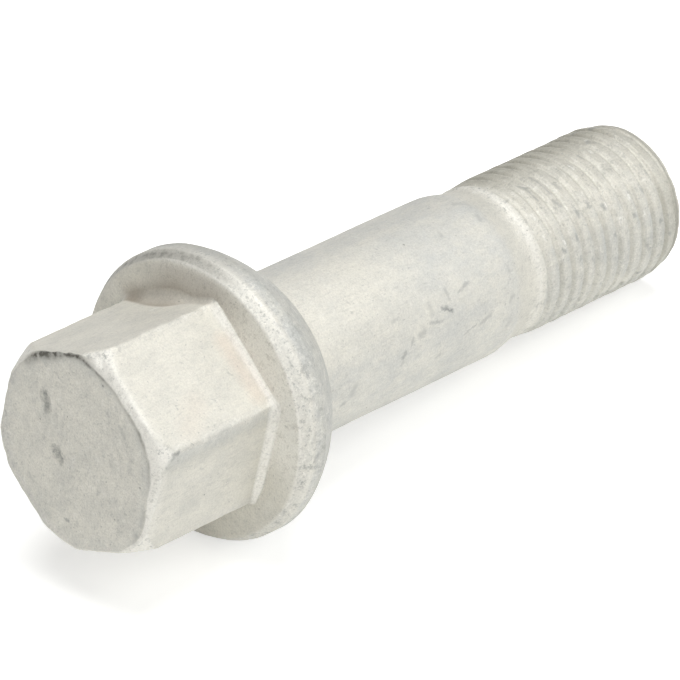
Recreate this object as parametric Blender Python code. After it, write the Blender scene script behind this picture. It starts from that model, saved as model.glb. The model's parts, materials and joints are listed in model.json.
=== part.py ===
# Wheel bolt, forged and thread-rolled from one piece of steel: a hexagon head on a round flange whose
# back is a ball seat, a plain shank, a thinner neck and a right-hand thread.
# Metres, +Z up. The bolt lies as it comes to rest on a level surface, on the rim of its flange and on
# the crest of its last full thread, with the head towards -X and the thread towards +X.
from math import asin, atan2, cos, hypot, pi, radians, sin, tan

import bmesh
import bpy
from mathutils import Matrix, Vector

MM = 0.001

# Hexagon head
HEX_ACROSS_FLATS = 17.0 * MM
HEX_HEIGHT = 13.1 * MM
HEX_CORNER_ROUNDING = 0.5 * MM
END_EDGE_RADIUS = 0.45 * MM
CHAMFER_FACE_DIAMETER = 17.5 * MM
CHAMFER_ANGLE = radians(60.0)
FOOT_FLARE_WIDTH = 0.6 * MM
FOOT_FLARE_HEIGHT = 0.7 * MM
HEX_TURN = radians(38.3)

# Flange with a ball seat. The ball's centre lies on the bolt's axis, ahead of the rim's back edge.
FLANGE_DIAMETER = 25.0 * MM
FLANGE_FACE_DIAMETER = 23.8 * MM
FLANGE_BEVEL_LENGTH = 1.05 * MM
FLANGE_RIM_LENGTH = 1.45 * MM
SEAT_CENTRE_SETBACK = 6.3 * MM
SEAT_FILLET_RADIUS = 1.0 * MM

# Plain shank and neck
SHANK_DIAMETER = 14.5 * MM
SHANK_LENGTH = 28.9 * MM
SHANK_TAPER_LENGTH = 2.4 * MM
SHANK_SHOULDER_RADIUS = 2.5 * MM
NECK_DIAMETER = 13.4 * MM
NECK_LENGTH = 1.3 * MM

# Right-hand thread, M14 x 1.5
THREAD_DIAMETER = 13.97 * MM
THREAD_PITCH = 1.5 * MM
THREAD_LENGTH = 18.3 * MM
THREAD_FLANK_ANGLE = radians(30.0)
THREAD_DEPTH_PER_PITCH = 0.6134
THREAD_CREST_PER_PITCH = 0.125
THREAD_START_LENGTH = 2.6 * MM
THREAD_RUN_OUT_LENGTH = 3.0 * MM
POINT_DIAMETER = 13.2 * MM
POINT_CHAMFER_LENGTH = 2.2 * MM
POINT_EDGE_RADIUS = 0.4 * MM

# Facets round the bolt's axis, and in each small arc of the outline
FACETS = 48
ARC_STEPS = 3
SEAT_STEPS = 6

# Rings of corners stand out by this much, so that the flats between them lie on the true radius.
FACET_REACH = 1.0 / cos(pi / FACETS)
# How far a solid runs into, or past, the one that it is joined to or cut by.
OVERRUN = 1.0 * MM
# How far the ridge's foot lies under the thread's root, so that it joins the core all along.
RIDGE_SUNK_DEPTH = 0.09 * MM
# Vertices closer than this on one mesh are the same corner.
WELD_DISTANCE = 0.001 * MM

# Places along the axis, from the head's end face, worked out from the lengths above
FLANGE_FACE_X = HEX_HEIGHT
RIM_FRONT_X = FLANGE_FACE_X + FLANGE_BEVEL_LENGTH
RIM_BACK_X = RIM_FRONT_X + FLANGE_RIM_LENGTH
SHANK_END_X = RIM_BACK_X + SHANK_LENGTH
NECK_START_X = SHANK_END_X + SHANK_TAPER_LENGTH
THREAD_START_X = NECK_START_X + NECK_LENGTH
POINT_X = THREAD_START_X + THREAD_LENGTH

# The ball that passes through the rim's back edge
SEAT_CENTRE_X = RIM_BACK_X - SEAT_CENTRE_SETBACK
SEAT_BALL_RADIUS = hypot(FLANGE_DIAMETER / 2, SEAT_CENTRE_SETBACK)

THREAD_DEPTH = THREAD_DEPTH_PER_PITCH * THREAD_PITCH
THREAD_CREST = THREAD_CREST_PER_PITCH * THREAD_PITCH
ROOT_DIAMETER = THREAD_DIAMETER - 2.0 * THREAD_DEPTH

STEEL_COLOUR = (0.66, 0.65, 0.58, 1.0)
STEEL_ROUGHNESS = 0.6
STEEL_METALLIC = 0.25


def clear_scene():
    for item in list(bpy.data.objects):
        bpy.data.objects.remove(item, do_unlink=True)


def steel():
    """Steel under a pale zinc flake coating."""
    material = bpy.data.materials.new("coated_steel")
    material.use_nodes = True
    shader = material.node_tree.nodes["Principled BSDF"]
    shader.inputs["Base Color"].default_value = STEEL_COLOUR
    shader.inputs["Roughness"].default_value = STEEL_ROUGHNESS
    shader.inputs["Metallic"].default_value = STEEL_METALLIC
    return material


def solid(name, bm):
    """A finished bmesh as an object, welded and with its faces pointing out."""
    bmesh.ops.remove_doubles(bm, verts=bm.verts, dist=WELD_DISTANCE)
    bmesh.ops.recalc_face_normals(bm, faces=bm.faces)
    mesh = bpy.data.meshes.new(name)
    bm.to_mesh(mesh)
    bm.free()
    item = bpy.data.objects.new(name, mesh)
    bpy.context.scene.collection.objects.link(item)
    return item


def combine(target, other, operation):
    """Replaces target's mesh by its union, intersection or difference with other, which is used up."""
    modifier = target.modifiers.new(operation.title(), "BOOLEAN")
    modifier.operation = operation
    modifier.solver = "EXACT"
    modifier.object = other
    graph = bpy.context.evaluated_depsgraph_get()
    result = bpy.data.meshes.new_from_object(target.evaluated_get(graph))
    target.modifiers.clear()
    target.data = result
    bpy.data.objects.remove(other, do_unlink=True)


def filleted(corners):
    """Outline points, with each corner (x, radius, fillet) turned into an arc where it has a fillet."""
    points = []
    for index, (x, r, fillet) in enumerate(corners):
        corner = Vector((x, r))
        if not fillet:
            points.append(corner)
            continue
        before = (Vector(corners[index - 1][:2]) - corner).normalized()
        after = (Vector(corners[index + 1][:2]) - corner).normalized()
        half_angle = before.angle(after) / 2.0
        centre = corner + (before + after).normalized() * fillet / sin(half_angle)
        start = corner + before * fillet / tan(half_angle) - centre
        sweep = start.angle_signed(corner + after * fillet / tan(half_angle) - centre)
        for step in range(ARC_STEPS + 1):
            turned = Matrix.Rotation(-sweep * step / ARC_STEPS, 2) @ start
            points.append(centre + turned)
    return points


def turned(name, outline):
    """Turns an outline of (x, radius) points about the bolt's axis. It starts and ends on the axis."""
    bm = bmesh.new()
    start_angle = Matrix.Rotation(pi / FACETS, 4, "X")
    corners = [bm.verts.new(start_angle @ Vector((x, 0.0, -r * FACET_REACH))) for x, r in outline]
    edges = [bm.edges.new(pair) for pair in zip(corners, corners[1:])]
    bmesh.ops.spin(bm, geom=corners + edges, cent=(0, 0, 0), axis=(1, 0, 0), angle=2 * pi,
                   steps=FACETS, use_merge=True)
    return solid(name, bm)


def ball_seat():
    """Corners of the seat, an arc of the ball's radius from the flange's rim in to the shank."""
    start = atan2(FLANGE_DIAMETER / 2, SEAT_CENTRE_SETBACK)
    end = asin(SHANK_DIAMETER / 2 / SEAT_BALL_RADIUS)
    corners = []
    for step in range(SEAT_STEPS + 1):
        angle = start + (end - start) * step / SEAT_STEPS
        fillet = SEAT_FILLET_RADIUS if step == SEAT_STEPS else 0.0
        x = SEAT_CENTRE_X + SEAT_BALL_RADIUS * cos(angle)
        corners.append((x, SEAT_BALL_RADIUS * sin(angle), fillet))
    return corners


def blank():
    """The turned outline of the flange, shank and neck, and the core of the thread.

    Rolling starts and ends gradually, so the thread's root sinks in behind the neck and rises again
    towards the point.
    """
    neck_r = NECK_DIAMETER / 2
    root_r = ROOT_DIAMETER / 2
    point_r = POINT_DIAMETER / 2
    sink_x = THREAD_START_X + THREAD_START_LENGTH / 2
    fade_x = POINT_X - POINT_CHAMFER_LENGTH
    corners = [
        (FLANGE_FACE_X, 0.0, 0.0),
        (FLANGE_FACE_X, FLANGE_FACE_DIAMETER / 2, 0.0),
        (RIM_FRONT_X, FLANGE_DIAMETER / 2, 0.0),
        *ball_seat(),
        (SHANK_END_X, SHANK_DIAMETER / 2, SHANK_SHOULDER_RADIUS),
        (NECK_START_X, neck_r, 0.0),
        (sink_x, neck_r, 0.0),
        (sink_x + THREAD_RUN_OUT_LENGTH, root_r, 0.0),
        (fade_x - THREAD_RUN_OUT_LENGTH, root_r, 0.0),
        (fade_x + POINT_EDGE_RADIUS, point_r, 0.0),
        (POINT_X, point_r, POINT_EDGE_RADIUS),
        (POINT_X, 0.0, 0.0),
    ]
    return turned("wheel_bolt", filleted(corners))


def thread_ridge():
    """The thread's ridge, one helix from the neck to the point, cut to a lead-in at both ends."""
    crest_r = THREAD_DIAMETER / 2
    foot_r = ROOT_DIAMETER / 2 - RIDGE_SUNK_DEPTH
    half_crest = THREAD_CREST / 2
    half_foot = half_crest + (crest_r - foot_r) * tan(THREAD_FLANK_ANGLE)
    turns = (THREAD_LENGTH + 2 * OVERRUN) / THREAD_PITCH
    steps = round(turns * FACETS)
    section = [(-half_foot, foot_r), (-half_crest, crest_r), (half_crest, crest_r), (half_foot, foot_r)]
    bm = bmesh.new()
    start_x = THREAD_START_X - OVERRUN
    corners = [bm.verts.new((start_x + x, 0.0, -r * FACET_REACH)) for x, r in section]
    face = bm.faces.new(corners)
    bmesh.ops.spin(bm, geom=[face], cent=(0, 0, 0), axis=(1, 0, 0), angle=2 * pi * steps / FACETS,
                   steps=steps, dvec=(THREAD_PITCH / FACETS, 0, 0), use_merge=False)
    return solid("thread_ridge", bm)


def thread_envelope():
    """What the rolling leaves room for: full crests between the cone at the neck and the point."""
    neck_r = NECK_DIAMETER / 2
    crest_r = THREAD_DIAMETER / 2
    start_slope = (crest_r - neck_r) / THREAD_START_LENGTH
    sunk = POINT_EDGE_RADIUS / 2
    point_run = POINT_CHAMFER_LENGTH - sunk
    point_slope = (crest_r - POINT_DIAMETER / 2 + sunk / 2) / point_run
    outline = [
        (THREAD_START_X - OVERRUN / 2, 0.0),
        (THREAD_START_X - OVERRUN / 2, neck_r - start_slope * OVERRUN / 2),
        (THREAD_START_X + THREAD_START_LENGTH + OVERRUN / start_slope, crest_r + OVERRUN),
        (POINT_X - POINT_CHAMFER_LENGTH - OVERRUN / point_slope, crest_r + OVERRUN),
        (POINT_X - sunk, crest_r - point_slope * point_run),
        (POINT_X - sunk, 0.0),
    ]
    return turned("thread_envelope", [Vector(point) for point in outline])


def hexagon():
    """The hexagon, with a rounded end edge and a flared foot that runs into the flange."""
    half_flats = HEX_ACROSS_FLATS / 2
    foot_x = FLANGE_FACE_X - FOOT_FLARE_HEIGHT
    sunk = FOOT_FLARE_WIDTH * OVERRUN / FOOT_FLARE_HEIGHT
    sections = [(0.0, half_flats - END_EDGE_RADIUS)]
    for step in range(1, ARC_STEPS + 1):
        angle = pi / 2 * step / ARC_STEPS
        x = END_EDGE_RADIUS * (1 - cos(angle))
        sections.append((x, half_flats - END_EDGE_RADIUS * (1 - sin(angle))))
    sections += [
        (foot_x, half_flats),
        (FLANGE_FACE_X + OVERRUN, half_flats + FOOT_FLARE_WIDTH + sunk),
    ]
    bm = bmesh.new()
    bmesh.ops.create_circle(bm, cap_ends=True, segments=6, radius=half_flats / cos(pi / 6))
    bmesh.ops.bevel(bm, geom=bm.verts[:], offset=HEX_CORNER_ROUNDING, offset_type="OFFSET", segments=2,
                    profile=0.5, affect="VERTICES", material=-1)
    bmesh.ops.transform(bm, matrix=Matrix.Rotation(pi / 2, 4, "Y"), verts=bm.verts)
    bmesh.ops.transform(bm, matrix=Matrix.Rotation(HEX_TURN, 4, "X"), verts=bm.verts)
    cap = bm.faces[:][0]
    across = 1.0
    along = 0.0
    for index, (x, flats) in enumerate(sections):
        if index:
            ring = bmesh.ops.extrude_edge_only(bm, edges=cap.edges)["geom"]
            edges = [item for item in ring if isinstance(item, bmesh.types.BMEdge)]
            edges = [edge for edge in edges if edge.is_boundary]
            if index > 1:
                bmesh.ops.delete(bm, geom=[cap], context="FACES_ONLY")
            cap = bmesh.ops.contextual_create(bm, geom=edges)["faces"][0]
        size = flats / half_flats
        step = Matrix.Translation((x - along, 0, 0)) @ Matrix.Diagonal((1, size / across, size / across, 1))
        bmesh.ops.transform(bm, matrix=step, verts=cap.verts)
        across = size
        along = x
    return solid("hexagon", bm)


def corner_chamfer():
    """The cone that takes the hexagon's corners off at its end face."""
    slope = 1.0 / tan(CHAMFER_ANGLE)
    face_r = CHAMFER_FACE_DIAMETER / 2
    clear_r = HEX_ACROSS_FLATS
    outline = [
        (-OVERRUN, 0.0),
        (-OVERRUN, face_r - OVERRUN * slope),
        ((clear_r - face_r) / slope, clear_r),
        (HEX_HEIGHT + 2 * OVERRUN + clear_r / slope, clear_r),
        (HEX_HEIGHT + 2 * OVERRUN + clear_r / slope, 0.0),
    ]
    return turned("corner_chamfer", [Vector(point) for point in outline])


def lay_down(item):
    """Tips the bolt onto its flange's rim and its thread, and stands its box on the origin."""
    rim = Vector((RIM_BACK_X, -FLANGE_DIAMETER / 2))
    beyond = [vertex.co for vertex in item.data.vertices if vertex.co.x > THREAD_START_X]
    tilt = min(atan2(point.z - rim.y, point.x - rim.x) for point in beyond)
    item.data.transform(Matrix.Rotation(tilt, 4, "Y"))
    for axis in range(3):
        along = [vertex.co[axis] for vertex in item.data.vertices]
        offset = -min(along) if axis == 2 else -(min(along) + max(along)) / 2
        item.data.transform(Matrix.Translation([offset if axis == k else 0.0 for k in range(3)]))


def build():
    clear_scene()
    bolt = blank()
    ridge = thread_ridge()
    combine(ridge, thread_envelope(), "INTERSECT")
    head = hexagon()
    combine(head, corner_chamfer(), "INTERSECT")
    combine(bolt, head, "UNION")
    combine(bolt, ridge, "UNION")
    lay_down(bolt)
    bolt.data.materials.clear()
    bolt.data.materials.append(steel())
    bolt.data.shade_smooth()
    bolt.data.set_sharp_from_angle(angle=radians(25.0))


build()
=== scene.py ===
# Wheel bolt, the looks: one forged, turned and thread-rolled piece of steel under a matte zinc flake
# coating, scuffed and a little grimy from lying loose among others.
#
# Bolt space is in millimetres: +X runs from the head's end face to the thread's end, +Z is up as far as
# the lying bolt's tilt lets it, and angles round the axis count from +Z towards -Y.
from collections import namedtuple
from math import atan, atan2, cos, degrees, exp, hypot, pi, radians, sin, sqrt, tan

import bmesh
import bpy
from mathutils import Matrix, Vector, noise
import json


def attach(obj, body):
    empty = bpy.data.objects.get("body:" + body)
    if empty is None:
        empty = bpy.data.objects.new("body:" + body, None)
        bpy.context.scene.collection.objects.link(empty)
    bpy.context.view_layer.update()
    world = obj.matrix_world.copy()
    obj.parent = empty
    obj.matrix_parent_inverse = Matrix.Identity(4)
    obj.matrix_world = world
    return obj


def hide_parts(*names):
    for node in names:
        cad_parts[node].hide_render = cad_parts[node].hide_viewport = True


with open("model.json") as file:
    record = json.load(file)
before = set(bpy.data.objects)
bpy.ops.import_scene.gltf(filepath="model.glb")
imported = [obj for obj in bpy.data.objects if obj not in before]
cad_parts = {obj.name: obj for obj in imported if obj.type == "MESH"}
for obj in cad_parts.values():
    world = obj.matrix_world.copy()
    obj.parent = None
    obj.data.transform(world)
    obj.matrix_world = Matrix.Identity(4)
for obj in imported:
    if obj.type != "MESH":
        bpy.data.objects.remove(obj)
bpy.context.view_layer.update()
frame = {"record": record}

MM = 0.001

# The bolt's own axes, read from the places of its end faces and of one of its flats
MOUNTS = {mount["name"]: mount for mount in frame["record"]["mounts"]}
HEAD_END = Vector(MOUNTS["head_end_face"]["pos_m"])
THREAD_END = Vector(MOUNTS["thread_end_face"]["pos_m"])
FLAT_NORMAL = Vector(MOUNTS["hexagon_flat"]["axis"])
ALONG = (THREAD_END - HEAD_END).normalized()
ACROSS = Vector((0.0, 1.0, 0.0))
UPWARD = ALONG.cross(ACROSS)
BOLT_AXES = Matrix((ALONG, ACROSS, UPWARD)).transposed()
BOLT_TO_WORLD = Matrix.Translation(HEAD_END) @ BOLT_AXES.to_4x4() @ Matrix.Scale(MM, 4)
HEX_TURN = atan2(-FLAT_NORMAL.dot(ACROSS), FLAT_NORMAL.dot(UPWARD))
UPPER_FLAT = HEX_TURN - pi / 3
LOWER_FLAT = HEX_TURN + pi / 3

# The direction round the axis, in degrees, that faces the photograph's camera
FACING = 48.0

# Hexagon head, in millimetres as all the sizes below
HALF_FLATS = 8.5
HEX_CORNER_RADIUS = 0.5
END_EDGE_RADIUS = 0.24
END_EDGE_WEAR = 0.5
END_EDGE_WORN_TOWARD = radians(58.0)
END_EDGE_BULGE = 0.27
CHAMFER_FACE_RADIUS = 8.75
CHAMFER_SLOPE = 0.57
CHAMFER_OFF_CENTRE = 0.08
CHAMFER_OFF_TOWARD = radians(50.0)
CHAMFER_BLEND = 0.22
FOOT_FLARE_HEIGHT = 0.68
FOOT_FLARE_WIDTH = 0.62
FACING_FLARE_WIDTH = 0.46
FACING_FLARE_SLOPE = 0.42
FOOT_EDGE_RADIUS = 0.14
FILLET_HEIGHT = 0.5
FILLET_WIDTH = 0.4
WEB_HEIGHT = 1.45
WEB_WIDTH = 1.0

# Flange and ball seat
FLANGE_FACE_X = 13.1
FLANGE_FACE_RADIUS = 11.9
FLANGE_RADIUS = 12.5
RIM_FRONT_X = 14.15
RIM_BACK_X = 15.6
FACE_EDGE_FILLET = 0.4
RIM_FRONT_FILLET = 0.6
RIM_BACK_FILLET = 0.5
SEAT_CENTRE_X = 9.3
SEAT_BALL_RADIUS = hypot(FLANGE_RADIUS, RIM_BACK_X - SEAT_CENTRE_X)
SEAT_FILLET = 1.0
SEAT_END_X = 20.8

# Shank, neck and thread
SHANK_RADIUS = 7.25
SHANK_END_X = 44.5
SHANK_END_FILLET = 4.0
NECK_RADIUS = 6.69
NECK_START_X = 46.9
NECK_FILLET = 2.5
THREAD_START_X = 48.0
THREAD_STEP_X = 48.5
THREAD_STEP_RADIUS = 6.79
THREAD_FULL_X = 50.8
CREST_RADIUS = 6.985
THREAD_SKIN = CREST_RADIUS - 0.05
PITCH = 1.5
RIDGE_WANDER = 0.07
THREAD_DEPTH = 0.32
CREST_WIDTH = 0.85
CREST_BLEND = 0.14
ROOT_BLEND = 0.16
POINT_BLEND = 0.1
SINK_START_X = 49.2
FLANK_ANGLE = radians(30.0)
RUN_OUT_LENGTH = 3.0
RIDGE_START_X = 47.35
POINT_FADE_X = 64.3
POINT_RADIUS = 6.6
POINT_EDGE_RADIUS = 0.45
POINT_X = (THREAD_END - HEAD_END).length / MM

# Where the shank's cream tone ends, painted light on its lit side, where the thread's two-toned turns end,
# painted light and shade on their flanks, and where its olive tip in painted shade starts
CREAM_END_X = 37.0
NEAR_TURNS_END_X = 65.2
TIP_START_X = 62.5

# How deep wear, forging and the coat leave the skin
DENT_DEPTH = 0.14
FOOT_CORNER_WEAR = 0.22
CHIP_DEPTH = 0.09
FACING_CHIP_DEPTH = 0.13
FACING_CHIPS_TOWARD = radians(35.0)
UNEVEN_DEPTH = 0.035

# The skin's mesh: its steps round the axis, the lengths and counts of those along it, and its rings
# before the flange's face and on it
SIDES = 216
SKIN_STEP = 0.42
END_STEP = 0.28
CHAMFER_MESH_STEP = 0.15
CHAMFER_MESH_END_X = 2.3
FLATS_MESH_STEPS = 22
THREAD_MESH_STEP = 0.09
ARC_STEPS = 5
SEAT_STEPS = 16
CORNER_CROWDING = 0.5
FOOT_MESH_BACKS = (1.75, 1.6, 1.45, 1.3, 1.15, 1.0, 0.86, 0.74, 0.68, 0.6, 0.5, 0.4, 0.3, 0.21, 0.14,
                   0.08, 0.03)
FACE_MESH_SHARES = (0.03, 0.1, 0.25, 0.45, 0.65, 0.82)

# The photograph's camera
VIEW_AZIMUTH = radians(-46.97)
VIEW_ELEVATION = radians(34.56)
VIEW_DISTANCE = 580.4
VIEW_TARGET = Vector((-2.86, -0.50, 10.19))
LENS = 373.8

# The floor, in metres
FLOOR_HALF_WIDTH = 3.0

# The coating's colours, and the studio's
COAT_CREAM = "#E8E5DA"
COAT_DULL = "#DAD8CF"
# Blue-grey of a thinner coat, also painted as cool shade on the sides turned away from the lamps
COAT_THIN_AND_SHADE = "#D1D2CE"
# Pale coat of scuffs, also the colour of painted highlights and painted light
PALE_COAT_AND_HIGHLIGHT = "#F5F3EB"
RUBBED_GREY = "#A8A9A4"
SHADED_OLIVE = "#9F9C8C"
# Brown painted shade in the folds between the hexagon and the flange
FOLD_SHADE_BROWN = "#85745F"
# Grime, also painted as dark shade along the end face's edge and in the thread's grooves on its far side
GRIME_AND_SHADE = "#66645C"
STAIN = "#CBB4A4"
# Grey painted as shade in the thread's grooves and on the back of the flange's rim
GROOVE_SHADE_GREY = "#A9ABA8"
SCUFF_GREY = "#909290"
KNOCK_GREY = "#767977"
PIT = "#5F5F54"
# Near white of painted glints, highlights on the coat
GLINT = "#FBFAF4"
BACKDROP_PAINT = "#E8E8E6"
BACKDROP_GLOW = "#C0C0C0"
WORLD_WHITE = "#FFFFFF"
WORLD_LIGHT = 0.046

# The coating's patterns, as how many of each lie along a millimetre
PATCHES_PER_MM = 0.42
PATCH_DRAWN_OUT = 0.6
MOTTLES_PER_MM = 1.5
SPECKS_PER_MM = 3.6
GRAINS_PER_MM = 6.0
WOBBLES_PER_MM = 2.6
PIT_CELLS_PER_MM = 0.95
STREAKS_PER_MM = (0.8, 4.5, 4.5)
STREAK_TURNS = ((0.2, 0.5, 0.7), (0.9, -0.4, -0.5))
MARK_SHAKE = 0.6
KNOCK_SHAKE = 1.3
BUMP_DEPTH = 0.05

# The shares, from 0 to 1, that the coat's look follows at each corner of the skin: how thinly coated it is
# together with painted cool shade, how light it is with painted highlight and painted light, how scuffed it
# is, how much painted shade lies in a groove and on the rim's back, and how much grime with painted shade,
# brown painted shade in the folds, and shade lies on it
Coat = namedtuple("Coat", "thin bright scuffed groove grime dust shade", defaults=(0.0,) * 7)


def smooth_min(a, b, blend):
    """The lesser of two values, rounded where they meet."""
    near = max(blend - abs(a - b), 0.0) / blend
    return min(a, b) - near * near * blend / 4.0


def smooth_max(a, b, blend):
    return -smooth_min(-a, -b, blend)


def ease(value):
    """From 0 to 1 with soft ends."""
    value = min(max(value, 0.0), 1.0)
    return value * value * (3.0 - 2.0 * value)


def ramp(x, x0, y0, x1, y1):
    """A straight rise or fall from (x0, y0) to (x1, y1), level on either side."""
    share = min(max((x - x0) / (x1 - x0), 0.0), 1.0)
    return y0 + (y1 - y0) * share


def hump(value, middle, width):
    """A soft bell of height 1."""
    return exp(-((value - middle) / width) ** 2)


def end_edge(angle):
    """The radius of the end face's edge: sharp on the upper flat, worn rounder on the facing ones."""
    worn = END_EDGE_WEAR * ease((cos(angle - END_EDGE_WORN_TOWARD) - 0.45) / 0.35)
    return END_EDGE_RADIUS + worn + 0.07 * noise.noise(outward(angle) * 8.0)


def hexagon_radius(angle, half_flats):
    """How far the hexagon's side is from the axis, its corners rounded."""
    off_flat = abs((angle - HEX_TURN + pi / 6) % (pi / 3) - pi / 6)
    flat = half_flats / cos(off_flat)
    inner = half_flats - HEX_CORNER_RADIUS
    if flat * sin(off_flat) <= inner * tan(pi / 6):
        return flat
    centre = inner / cos(pi / 6)
    off_corner = pi / 6 - off_flat
    return centre * cos(off_corner) + sqrt(HEX_CORNER_RADIUS ** 2 - (centre * sin(off_corner)) ** 2)


def turned_off(angle, toward):
    """The angle between two directions round the axis, from -pi to pi."""
    return (angle - toward + pi) % (2 * pi) - pi


def degrees_round(angle):
    """Degrees round the axis, up to 180 either way from the side that faces the camera."""
    return degrees(turned_off(angle, radians(FACING))) + FACING


def fading_in(turned):
    """0 where the degrees round the axis start, on the unseen side, and 1 soon after."""
    return ease((turned + 120.0) / 40.0)


def fading_out(turned):
    """1 until the unseen side, and 0 where the degrees round the axis end there."""
    return ease((210.0 - turned) / 40.0)


def on_upper_flat(angle):
    """1 on the hexagon's upper flat, where the foot is a soft fillet, and 0 on the others."""
    return ease((radians(36.0) - abs(turned_off(angle, UPPER_FLAT))) / radians(8.0))


def along_upper_flat(angle):
    return HALF_FLATS * tan(min(max(turned_off(angle, UPPER_FLAT), -pi / 5), pi / 5))


def web(angle):
    """The share of a bowed web that the forging left in the upper flat's fillet."""
    along = along_upper_flat(angle)
    return ease((along + 5.2) / 4.8) * ease((2.9 - along) / 2.4) * on_upper_flat(angle)


def fillet_height(angle):
    return FILLET_HEIGHT + (WEB_HEIGHT - FILLET_HEIGHT) * web(angle)


def foot_flare_width(angle):
    """How far the foot stands out: least on the facing flat's lower corner, as the die left it."""
    from_flat = turned_off(angle, HEX_TURN)
    sloping = FACING_FLARE_WIDTH - FACING_FLARE_SLOPE * from_flat
    past_facing = ease((abs(from_flat) - radians(26.0)) / radians(8.0))
    width = sloping + (FOOT_FLARE_WIDTH - sloping) * past_facing
    past = degrees(from_flat)
    return width * (1.0 - 0.6 * ease((past - 78.0) / 12.0) * ease((160.0 - past) / 30.0))


def foot_flare(x, angle):
    """The foot's flare at a place along the hexagon: a crisp bevel, or a fillet on the upper flat."""
    back = FLANGE_FACE_X - x
    crisp = foot_flare_width(angle) * max(1.0 - back / FOOT_FLARE_HEIGHT, 0.0)
    crisp -= 0.8 * FOOT_EDGE_RADIUS * max(1.0 - back / FOOT_EDGE_RADIUS, 0.0) ** 2
    share = on_upper_flat(angle)
    if not share:
        return crisp
    width = FILLET_WIDTH + (WEB_WIDTH - FILLET_WIDTH) * web(angle)
    fillet = width * (1.0 - sqrt(1.0 - max(1.0 - back / fillet_height(angle), 0.0) ** 2))
    return crisp + (fillet - crisp) * share


def head_radius(x, angle):
    """The hexagon with its corners coned off at the end face and its foot flared on the flange."""
    side = hexagon_radius(angle, HALF_FLATS + foot_flare(x, angle))
    cone = CHAMFER_FACE_RADIUS + CHAMFER_SLOPE * x - CHAMFER_OFF_CENTRE * cos(angle - CHAMFER_OFF_TOWARD)
    return smooth_min(side, cone, CHAMFER_BLEND)


def from_crest(x, angle):
    """How far a place lies from the ridge's middle, towards the tip, the ridge wandering a little."""
    wander = RIDGE_WANDER * noise.noise(Vector((x, 7.0 * cos(angle), 7.0 * sin(angle))) * 0.55)
    turns = (x + wander - RIDGE_START_X) / PITCH - (angle - pi) / (2 * pi)
    return (turns - round(turns)) * PITCH


def relief(angle):
    """How much of the turns' depth the coat has left open: most on the far side, least underneath."""
    turned = degrees_round(angle)
    underneath = ease((turned - 95.0) / 25.0) * fading_out(turned)
    far_side = ease((-8.0 - turned) / 20.0) * fading_in(turned)
    return 1.0 - 0.3 * hump(turned, 20.0, 26.0) - 0.35 * underneath + 0.5 * far_side


def thread_envelope(x):
    """The radius that the thread rolls leave over the turns: a step, a slow rise and the point's fall."""
    if x < THREAD_STEP_X:
        return ramp(x, THREAD_START_X, NECK_RADIUS, THREAD_STEP_X, THREAD_STEP_RADIUS)
    rise = ramp(x, THREAD_STEP_X, THREAD_STEP_RADIUS, THREAD_FULL_X, CREST_RADIUS)
    fall = ramp(x, POINT_FADE_X, CREST_RADIUS, POINT_X - POINT_EDGE_RADIUS, POINT_RADIUS)
    return smooth_min(rise, fall, POINT_BLEND)


def thread_radius(x, angle):
    """A helical ridge on a core, under the thread's envelope."""
    ridge = CREST_RADIUS - (abs(from_crest(x, angle)) - CREST_WIDTH / 2) / tan(FLANK_ANGLE)
    envelope = thread_envelope(x)
    root = CREST_RADIUS - THREAD_DEPTH
    sinking = ramp(x, SINK_START_X, NECK_RADIUS, SINK_START_X + RUN_OUT_LENGTH, root)
    fading = ramp(x, POINT_FADE_X - RUN_OUT_LENGTH, root, POINT_X, POINT_RADIUS - 0.05)
    core = sinking if x < (THREAD_START_X + POINT_X) / 2 else fading
    turns = smooth_max(core, smooth_min(ridge, envelope, CREST_BLEND), ROOT_BLEND)
    return envelope + (turns - envelope) * relief(angle)


def filleted(corners):
    """Outline points, with each corner (x, radius, fillet) turned into an arc where it has a fillet."""
    points = []
    for index, (x, r, fillet) in enumerate(corners):
        corner = Vector((x, r))
        if not fillet:
            points.append(corner)
            continue
        before = (Vector(corners[index - 1][:2]) - corner).normalized()
        after = (Vector(corners[index + 1][:2]) - corner).normalized()
        half_angle = before.angle(after) / 2.0
        centre = corner + (before + after).normalized() * fillet / sin(half_angle)
        start = corner + before * fillet / tan(half_angle) - centre
        sweep = start.angle_signed(corner + after * fillet / tan(half_angle) - centre)
        for step in range(ARC_STEPS + 1):
            points.append(centre + Matrix.Rotation(-sweep * step / ARC_STEPS, 2) @ start)
    return points


def spaced(points, longest):
    """The same outline with points added so that no step is longer than that."""
    result = [points[0]]
    for before, after in zip(points, points[1:]):
        steps = max(1, round((after - before).length / longest + 0.49))
        result += [before.lerp(after, step / steps) for step in range(1, steps + 1)]
    return result


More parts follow.
